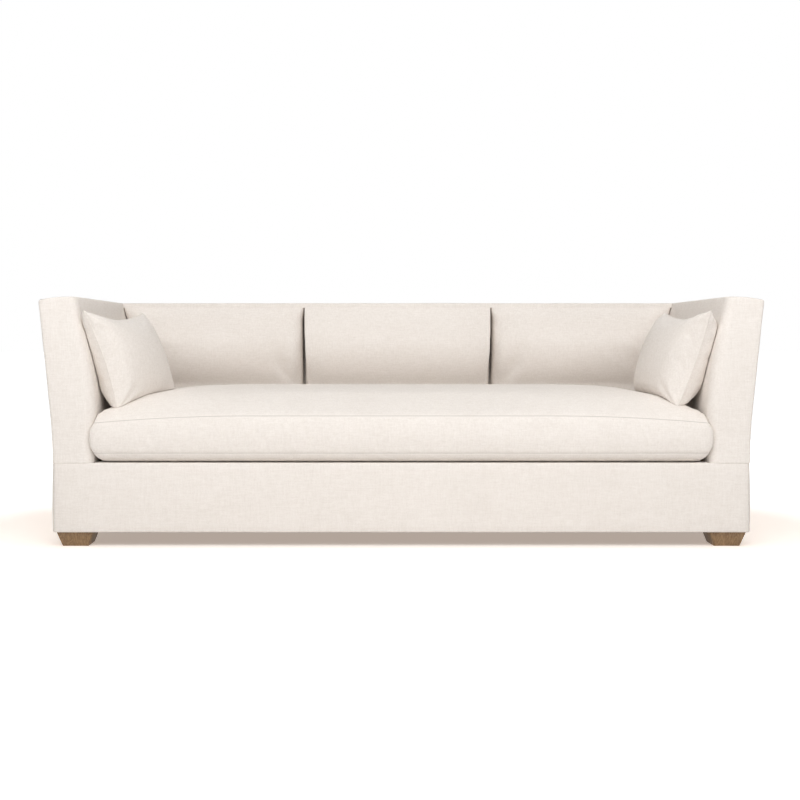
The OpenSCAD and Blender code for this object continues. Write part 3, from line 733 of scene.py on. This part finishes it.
def make_back_cushion(name, left_end, right_end, rounding):
    """One cushion of the back. Its ends are functions of height, and the rounding of its
    upright front edges tightens towards the top corners. It is shaped from a box of that
    depth, cut into columns, whose rear is brought to the back's frame."""
    bm = bmesh.new()
    depth, margin, column, tight_height, crown_depth = 0.12, 0.05, 0.018, 0.07, 0.010
    rim = cushion_top - 0.004
    a, b = left_end(cushion_top), right_end(cushion_top)
    block(bm, (a, 0, cushion_bottom), (b, depth, cushion_top))
    for end in (a, b):
        rounded(bm, upright_edges(bm, lambda co: near(co.x, end, 1e-3) and co.y < 0.01),
                radius=rounding, steps=6)
    cut_across(bm, axis_z, spread(cushion_bottom, rim, 37) + [rim, cushion_top - 0.0015])
    cut_across(bm, axis_x, spread(a + margin, b - margin, int((b - a) / column)))
    cut_across(bm, axis_y, spread(margin, depth, 4))
    for v in bm.verts:
        x, y, z = v.co
        tight = 0.25 + 0.75 * eased((cushion_top - z) / tight_height)
        for end, way in ((a, 1), (b, -1)):
            if (x - end) * way < rounding + 1e-4 and y < rounding + 1e-4:
                x, y = end + (x - end) * tight, y * tight
        left, right = left_end(z), right_end(z)
        share = (x - a) / (b - a)
        face = cushion_face(z)
        rear = outside_back(z) - back_frame_depth - 0.001
        tall = (z - cushion_bottom) / (cushion_top - cushion_bottom)
        crown = crown_depth * (1 - (2 * share - 1) ** 4) * math.sin(math.pi * tall)
        v.co.x = left + share * (right - left)
        v.co.y = face - crown + y / depth * (rear - face + crown)
    mesh = mesh_from(bm, name)

    def held(co):
        hem, top_hem, loose_depth, fade = 0.02, 0.012, 0.015, 0.03
        rear = outside_back(co.z) - back_frame_depth
        if co.y > rear - hem or co.z < cushion_bottom + hem:
            return 1.0
        if co.z > cushion_top - top_hem:
            return 0.95
        return eased((co.y - cushion_face(co.z) - loose_depth) / fade)

    def kept_in(co):
        co.x = min(max(co.x, left_end(co.z)), right_end(co.z))
        co.y = min(co.y, outside_back(co.z) - back_frame_depth - 0.0006)
        co.z = min(max(co.z, cushion_bottom), cushion_top - 0.0003)
        return co

    filled(mesh, held, pressure=2.5, slack=0.003, cap=0.010, kept_in=kept_in)
    stuffed_piece(name, mesh, linen, "frame", (name,))


# ---------------------------------------------------------------- seat cushion


def seat_side(y):
    """Half width of the seat cushion at depth y; it fills the arms' soft front edges."""
    share_filled = 0.97
    s = min(arm_edge, max(0, front_y + arm_edge - y))
    return seat_half + (arm_edge - math.sqrt(max(0, arm_edge ** 2 - s ** 2))) * share_filled


def seat_end_inset(z):
    """How far the ends draw in at height z, above and below the middle of the boxing."""
    middle, reach, bulge = 0.372, 0.100, 0.050
    t = min(1, abs(z - middle) / reach)
    return bulge * (1 - math.sqrt(1 - t * t))


def seat_droop(x):
    """How far the cushion's upper seam sinks towards its ends."""
    straight_half, run, droop = 0.5, 0.53, 0.024
    return droop * min(1, max(0, (abs(x) - straight_half) / run)) ** 2


def seat_outline(front, side, back):
    """Plan of the cushion with its front, ends and back drawn in, from the middle of the
    front round to it again. Its front corners swell out before the arms."""
    half_deep = (seat_back - seat_front) / 2
    middle = (seat_back + seat_front) / 2
    steps, corner, front_share, behind_front = 32, 0.016, 0.985, 0.0018
    right = [(seat_half * front_share * i / steps, seat_front) for i in range(steps + 1)]
    ear_y = front_y + behind_front
    ear = ear_y - seat_front
    for degrees in (70, 45, 20):
        a = math.radians(degrees)
        right.append((seat_side(ear_y) - ear + ear * math.cos(a), ear_y - ear * math.sin(a)))
    for i in range(9):
        y = ear_y + arm_edge * i / 8
        right.append((seat_side(y), y))
    for i in range(1, 12):
        y = ear_y + arm_edge + (seat_back - corner - ear_y - arm_edge) * i / 12
        right.append((seat_half, y))
    for degrees in (0, 30, 60, 90):
        a = math.radians(degrees)
        right.append((seat_half - corner + corner * math.cos(a),
                      seat_back - corner + corner * math.sin(a)))
    right += [((seat_half - corner) * i / steps, seat_back) for i in range(steps - 1, -1, -1)]
    points = right + [(-x, y) for x, y in reversed(right[1:-1])]
    return [(x * (1 - side / seat_half),
             middle + (y - middle) * (1 - (front if y < middle else back) / half_deep))
            for x, y in points]


def seat_rings():
    """(front, end and back insets, height, share of the droop) of each ring from the
    underside to the crest. The crown rises steeply where it is squeezed between the arms."""
    end_limit, crown_power = 0.008, 2.6
    rings = []
    for inset, z, sunk in (
            (0.055, seat_bottom, 0), (0.037, seat_bottom + 0.004, 0),
            (0.022, seat_bottom + 0.0115, 0), (0.011, seat_bottom + 0.0185, 0),
            (0.0055, seat_bottom + 0.026, 0), (0.0030, lower_seam, 0.05),
            (0.0015, lower_seam + 0.015, 0.15), (0.0005, lower_seam + 0.032, 0.3),
            (0, (lower_seam + upper_seam) / 2, 0.5), (0, upper_seam - 0.042, 0.66),
            (0.001, upper_seam - 0.022, 0.83), (0.005, upper_seam, 1)):
        end = min(inset, end_limit) + seat_end_inset(z - sunk * seat_droop(seat_half))
        rings.append((inset, end, inset, z, sunk))
    half_deep = (seat_back - seat_front) / 2
    for share in (0.012, 0.035, 0.07, 0.12, 0.19, 0.28, 0.38, 0.50, 0.63, 0.78, 0.93):
        crown = (seat_crest - upper_seam) * (1 - (1 - share) ** crown_power)
        rings.append((0.005 + share * half_deep,
                      0.010 + 0.02 * share + 0.44 * max(0, share - 0.2),
                      0.005 + 0.02 * share + 0.35 * max(0, share - 0.25),
                      upper_seam + crown, 1))
    return rings


def make_seat_cushion():
    """The long crowned cushion, swept through its rings, with a seam above and below."""
    bm = bmesh.new()
    loops = []
    for front, side, back, z, sunk in seat_rings():
        points = [bm.verts.new((x, y, z - sunk * seat_droop(x)))
                  for x, y in seat_outline(front, side, back)]
        loops.append(closed_loop(bm, points))
    for lower, upper in zip(loops, loops[1:]):
        bmesh.ops.bridge_loops(bm, edges=lower + upper)
    for end in (loops[0], loops[-1]):
        bmesh.ops.contextual_create(bm, geom=end)
    skin = remeshed(bm, voxel=0.012)
    smoothed(skin, rounds=3)

    def upper(co):
        return co.z - (upper_seam - seat_droop(co.x))

    def lower(co):
        return co.z - lower_seam

    def held(co):
        hem, seam_width, firmness = 0.012, 0.009, 0.85
        if co.z < seat_bottom + hem:
            return 1.0
        return firmness * eased(1 - min(abs(upper(co)), abs(lower(co))) / seam_width)

    def kept_in(co):
        side = seat_side(co.y) + 0.0005
        co.x = min(max(co.x, -side), side)
        co.y = min(max(co.y, seat_front - 0.004), seat_back)
        co.z = max(co.z, seat_bottom)
        return co

    filled(skin, held, pressure=1.6, slack=0.004, cap=0.010, kept_in=kept_in)

    def groove(co, normal):
        if abs(normal.z) > 0.9:
            return Vector()
        width, depth, lower_share = 0.0065, 0.0016, 0.8
        edge = max(math.exp(-(upper(co) / width) ** 2),
                   lower_share * math.exp(-(lower(co) / width) ** 2))
        return normal * (-depth * edge)

    return stuffed_piece("seat_cushion", skin, seamed_linen, "seat_cushion",
                         ("seat_cushion_cover",),
                         seams={"upper_seam": upper, "lower_seam": lower}, groove=groove)


# ---------------------------------------------------------------- pillows


class PillowForm:
    """Where a pillow leans against its arm, and how it is stuffed. Its sizes are halves."""

    fuller_at_the_arm = 1.28
    fullness = 0.40
    half_seam = 0.0015
    sides_drawn_in = 0.08
    top_drawn_in = 0.17
    foot_drawn_in = 0.03

    def __init__(self, side, spot, turned, tilt, wide, high, thick, slant, sag, bow, seed):
        self.side, self.spot, self.turned, self.tilt = side, Vector(spot), turned, tilt
        self.half_wide, self.half_high, self.half_thick = wide, high, thick
        self.slant, self.sag, self.bow, self.seed = slant, sag, bow, seed

    def point(self, u, v, face, out=0.0):
        """Point of the skin at shares u across and v up, on one face (-1 or 1); on the rim
        it may stand out by a little."""
        thick = self.half_thick * max(0, (1 - u * u) * (1 - v * v)) ** self.fullness
        if face < 0:
            thick *= self.fuller_at_the_arm
        thick += self.crease(u, v) * (face + 2)
        wide, high = self.half_wide + out, self.half_high + out
        across = wide * (u * (1 - self.sides_drawn_in * (1 - v * v)) - self.slant * v)
        deep = face * (self.half_seam + thick) + self.bow * (1 - v * v) * (1 - u) / 2
        drawn_in = self.top_drawn_in if v > 0 else self.foot_drawn_in
        up = high * (v * (1 - drawn_in * (1 - u * u)) + self.sag * u * (1 - v) / 2)
        return Vector((across, deep, up))

    def crease(self, u, v):
        """Small folds that run out from the corners and fade towards the middle."""
        fold_depth, folds, rise, reach, rim_rise = 0.0011, 11, 0.25, 0.55, 6
        depth = 0.0
        for index, (a, b) in enumerate(((-1, -1), (1, -1), (1, 1), (-1, 1))):
            away = math.hypot(u - a, v - b)
            turn = math.atan2(abs(v - b), abs(u - a))
            fade = min(1, away / rise) * math.exp(-(away / reach) ** 2)
            depth += fold_depth * fade * math.sin(folds * turn + 2.1 * index + self.seed)
        return depth * min(1, rim_rise * (1 - u * u)) * min(1, rim_rise * (1 - v * v))

    def placed(self, co):
        """The point in the sofa's frame."""
        here = Matrix.Rotation(math.radians(90 + self.turned), 4, "Z")
        here = here @ Matrix.Rotation(math.radians(self.tilt), 4, "X")
        found = here @ co + self.spot
        return Vector((self.side * found.x, found.y, found.z))

    def resting(self, co, seat):
        """Keeps a point off the arm and on top of the seat cushion."""
        off_the_arm, off_the_seat = 0.0025, 0.0012
        reach = arm_inner(co.z) - off_the_arm
        co.x = self.side * min(self.side * co.x, reach)
        hit = seat.ray_cast(Vector((co.x, co.y, 1.0)), Vector((0, 0, -1)))[0]
        if hit is not None:
            co.z = max(co.z, hit.z + off_the_seat)
        return co


left_pillow = PillowForm(side=-1, spot=(0.9527, -0.243, 0.6230), turned=16.8, tilt=12.1,
                         wide=0.208, high=0.174, thick=0.084, slant=0.24, sag=-0.03,
                         bow=0.006, seed=0.4)
right_pillow = PillowForm(side=1, spot=(0.9590, -0.249, 0.6370), turned=9.5, tilt=12.8,
                          wide=0.190, high=0.160, thick=0.083, slant=0.27, sag=0.10,
                          bow=-0.015, seed=1.9)


def to_the_rim(share):
    """Spaces points closer together towards a pillow's rim."""
    return math.sin(share * math.pi / 2)


def make_pillow(form, seat):
    """A pillow's cover, blown up flat and then placed, with its seam and its filling."""
    body = "pillow_left" if form.side < 0 else "pillow_right"
    bm = bmesh.new()
    rims = []
    for face in (-1, 1):
        made = bmesh.ops.create_grid(bm, x_segments=44, y_segments=44, size=1)
        new = set(made["verts"])
        for v in new:
            v.co = form.point(to_the_rim(v.co.x), to_the_rim(v.co.y), face)
        rims += [e for e in bm.edges if e.is_boundary and set(e.verts) <= new]
    bmesh.ops.bridge_loops(bm, edges=rims)
    mesh = mesh_from(bm, body)
    rim_places = {tuple(round(c, 5) for c in mesh.vertices[i].co)
                  for i in rim_indices(mesh)}

    def held(co):
        return 1.0 if tuple(round(c, 5) for c in co) in rim_places else 0.0

    filled(mesh, held, pressure=3.0, slack=0.012, cap=0.010, kept_in=lambda co: co)
    for v in mesh.vertices:
        v.co = form.resting(form.placed(v.co), seat)
    turned_out(mesh)
    stuffed_piece(body, mesh, linen, body, (body + "_cover",))
    make_pillow_seam(body, form, seat)
    make_pillow_filling(body, form, seat)


def make_pillow_filling(body, form, seat):
    """The fibre filling in its thin inner bag."""
    bm = bmesh.new()
    bmesh.ops.create_cube(bm, size=2)
    bmesh.ops.subdivide_edges(bm, edges=bm.edges[:], cuts=13, use_grid_fill=True)
    share_across, share_deep, off_the_arm, off_the_seat = 0.80, 0.30, 0.010, 0.006
    for v in bm.verts:
        u, deep, w = v.co
        u, w = to_the_rim(u) * share_across, to_the_rim(w) * share_across
        front, back = form.point(u, w, 1), form.point(u, w, -1)
        inside = back.lerp(front, 0.5 + share_deep * deep)
        v.co = form.resting(form.placed(inside), seat)
        v.co.x -= form.side * off_the_arm
        v.co.z += off_the_seat
    made = piece(body + "_filling", bm, foam, body, (body + "_insert",))


def rim_indices(mesh):
    """The points of a pillow's skin that its seam holds: the ends of the narrow band."""
    close = set()
    for edge in mesh.edges:
        a, b = (mesh.vertices[i].co for i in edge.vertices)
        if near(a.x, b.x, 1e-6) and near(a.z, b.z, 1e-6):
            close.update(edge.vertices)
    return close


def turned_out(mesh):
    """Turns a closed skin's faces outwards."""
    bm = bmesh.new()
    bm.from_mesh(mesh)
    bmesh.ops.recalc_face_normals(bm, faces=bm.faces)
    bm.to_mesh(mesh)
    bm.free()


def make_pillow_seam(body, form, seat):
    """The thin sewn lip where the two faces of a pillow meet."""
    steps = 40
    walk = [(-1 + 2 * i / steps, -1) for i in range(steps)]
    walk += [(1, -1 + 2 * i / steps) for i in range(steps)]
    walk += [(1 - 2 * i / steps, 1) for i in range(steps)]
    walk += [(-1, 1 - 2 * i / steps) for i in range(steps)]
    inside, edge, tip, half_thick = -0.003, 0.0010, 0.0022, 0.0019
    bm = bmesh.new()
    loops = []
    for out, deep in ((inside, -half_thick), (edge, -half_thick), (tip, 0),
                      (edge, half_thick), (inside, half_thick)):
        points = []
        for u, v in walk:
            co = form.point(u, v, 1, out) + Vector((0, deep - form.half_seam, 0))
            points.append(bm.verts.new(form.resting(form.placed(co), seat)))
        loops.append(closed_loop(bm, points))
    for a, b in zip(loops, loops[1:] + loops[:1]):
        bmesh.ops.bridge_loops(bm, edges=a + b)
    piece(body + "_seam", bm, linen, body)


# ---------------------------------------------------------------- deck and zip


def make_deck():
    """The cloth platform under the seat cushion and the padded roll along its front."""
    low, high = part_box("seat_deck")
    sunk, wave = 0.0012, 0.001
    bm = bmesh.new()
    block(bm, low, high)
    rounded(bm, rim_edges(bm, high.z), radius=0.008, steps=3)
    cut_across(bm, axis_x, spread(low.x, high.x, 55))
    cut_across(bm, axis_y, spread(low.y, high.y, 19))
    for v in bm.verts:
        if near(v.co.z, high.z):
            v.co.z -= sunk + wavy(v.co, wave, size=0.09)
    made = piece("deck", bm, deck_cloth, "frame", ("seat_deck",))
    low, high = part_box("edge_roll")
    bm = bmesh.new()
    block(bm, low, high)
    rounded(bm, edges_where(bm, level=(axis_y, axis_z)), radius=0.010, steps=4)
    cut_across(bm, axis_x, spread(low.x, high.x, 55))
    made = piece("deck_front_roll", bm, linen, "frame", ("edge_roll",))


def make_zip():
    """The zip at the back of the seat cushion: two tapes, teeth, a slider and its pull."""
    low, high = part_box("seat_cushion_zip")
    tape_width, tape_depth, pitch, off_the_middle = 0.012, 0.0010, 0.004, 0.0008
    tooth_half_wide, tooth_half_high = 0.0012, 0.0022
    off_the_cover = 0.0002
    y = seat_back + off_the_cover
    middle = (low.z + high.z) / 2
    bm = bmesh.new()
    for edge in (middle - tape_width, middle + tape_width):
        block(bm, (low.x, y, min(middle, edge)), (high.x, y + tape_depth, max(middle, edge)))
    piece("zip_tapes", bm, linen, "seat_cushion")
    bm = bmesh.new()
    count = int((high.x - low.x) / pitch)
    for i in range(count):
        x = low.x + (i + 0.5) * (high.x - low.x) / count
        z = middle + (off_the_middle if i % 2 else -off_the_middle)
        block(bm, (x - tooth_half_wide, y + 0.0006, z - tooth_half_high),
              (x + tooth_half_wide, y + 0.0022, z + tooth_half_high))
    piece("zip_teeth", bm, zip_metal, "seat_cushion", ("seat_cushion_zip",))
    bm = bmesh.new()
    block(bm, (high.x - 0.016, y + 0.0012, middle - 0.005),
          (high.x - 0.004, y + 0.0046, middle + 0.005))
    rounded(bm, bm.edges[:], radius=0.0012, steps=2)
    piece("zip_slider", bm, zip_metal, "seat_cushion")
    bm = bmesh.new()
    block(bm, (high.x - 0.013, y + 0.0044, middle - 0.026),
          (high.x - 0.007, y + 0.0056, middle - 0.001))
    rounded(bm, bm.edges[:], radius=0.0004, steps=2)
    piece("zip_pull", bm, zip_metal, "seat_cushion")


make_base()
for place_name in ("front_left", "front_right", "back_left", "back_right", "center"):
    make_foot("foot_" + place_name)
for arm in (-1, 1):
    make_arm(arm)
make_outside_back()
make_top_band()
make_back_cushion("back_cushion_left", lambda z: -arm_end(z), lambda z: -slit_end(z),
                  rounding=0.045)
make_back_cushion("back_cushion_center", lambda z: slit - cushion_split,
                  lambda z: cushion_split - slit, rounding=0.006)
make_back_cushion("back_cushion_right", slit_end, arm_end, rounding=0.045)
seat_cushion = make_seat_cushion()
seat_skin = BVHTree.FromPolygons([v.co for v in seat_cushion.data.vertices],
                                 [p.vertices for p in seat_cushion.data.polygons])
make_pillow(left_pillow, seat_skin)
make_pillow(right_pillow, seat_skin)
make_deck()
make_zip()

# ---------------------------------------------------------------- studio


def seen_by(tree, *kinds):
    """1 for rays of those kinds."""
    path = node(tree, "ShaderNodeLightPath")
    found = 0.0
    for kind in kinds:
        found = maths(tree, "MAXIMUM", found, path.outputs["Is " + kind + " Ray"])
    return found


def make_floor():
    """A pale floor that keeps the sofa's shadow, which near the sofa a painted warm glow
    lightens for the camera, and is white to the camera beyond it.
    """
    made, tree, shader = material("studio_floor")
    shader.inputs["Base Color"].default_value = (0.90, 0.88, 0.86, 1)
    shader.inputs["Roughness"].default_value = 1
    shader.inputs["Specular IOR Level"].default_value = 0
    shadow_half_wide, shadow_half_deep = 1.5, 0.9
    away = node(tree, "ShaderNodeVectorMath", {"operation": "LENGTH"},
                Vector=place(tree, (1 / shadow_half_wide, 1 / shadow_half_deep, 1)))
    far = ranged(tree, away.outputs["Value"], 1.0, 1.45)
    # Painted glow for camera and glossy rays: dim and warm near the sofa, where it lightens
    # the sofa's shadow, white further out.
    painted_glow = node(tree, "ShaderNodeEmission",
                Color=blended(tree, far, (0.44, 0.37, 0.32), (1, 1, 1)), Strength=1.0)
    lit = node(tree, "ShaderNodeAddShader")
    tree.links.new(shader.outputs[0], lit.inputs[0])
    tree.links.new(painted_glow.outputs[0], lit.inputs[1])
    both = node(tree, "ShaderNodeMixShader", Fac=seen_by(tree, "Camera", "Glossy"))
    tree.links.new(shader.outputs[0], both.inputs[1])
    tree.links.new(lit.outputs[0], both.inputs[2])
    tree.links.new(both.outputs[0], tree.nodes["Material Output"].inputs["Surface"])
    bm = bmesh.new()
    bmesh.ops.create_grid(bm, x_segments=1, y_segments=1, size=60)
    mesh = bpy.data.meshes.new("floor")
    bm.to_mesh(mesh)
    bm.free()
    floor = new_object("floor", mesh)
    mesh.materials.append(made)


def make_lights():
    """Three soft lamps, a faint light from all round, and white wherever the camera looks."""
    world = bpy.data.worlds.new("studio")
    bpy.context.scene.world = world
    world.use_nodes = True
    tree = world.node_tree
    ambient = tree.nodes["Background"]
    ambient.inputs["Color"].default_value = (1, 1, 1, 1)
    ambient.inputs["Strength"].default_value = 0.14
    seen = node(tree, "ShaderNodeBackground", Color=(1, 1, 1, 1), Strength=1.0)
    both = node(tree, "ShaderNodeMixShader",
                Fac=seen_by(tree, "Camera", "Glossy", "Transmission"))
    tree.links.new(ambient.outputs[0], both.inputs[1])
    tree.links.new(seen.outputs[0], both.inputs[2])
    tree.links.new(both.outputs[0], tree.nodes["World Output"].inputs["Surface"])
    aim = Vector((0, 0, 0.3))
    for name, spot, tint, size, power in (
            ("front_softbox", (0, -2.5, 2.2), (1, 1, 1), (6.5, 1.6), 110),
            ("top_softbox", (0, 0.1, 3.6), (1, 0.97, 0.92), (5.5, 2.0), 24),
            ("back_softbox", (0, 3.7, 1.2), (1, 1, 1), (7.0, 1.6), 95)):
        lamp = bpy.data.lights.new(name, "AREA")
        lamp.shape = "RECTANGLE"
        lamp.size, lamp.size_y = size
        lamp.energy = power
        lamp.color = tint
        made = new_object(name, lamp)
        made.visible_camera = False
        made.location = spot
        made.rotation_euler = (aim - Vector(spot)).to_track_quat("-Z", "Y").to_euler()


def make_camera():
    """Level camera in front of the sofa, its frame shifted as the photograph's is."""
    lens = bpy.data.cameras.new("camera")
    lens.lens = 54.6
    lens.sensor_width = 36
    lens.shift_x = 0.030
    lens.shift_y = -0.0759
    made = new_object("camera", lens)
    made.location = (-0.085, -4.533, 0.698)
    made.rotation_euler = (math.radians(90), 0, 0)
    bpy.context.scene.camera = made


make_floor()
make_lights()
make_camera()
bpy.context.scene.view_settings.view_transform = "Standard"
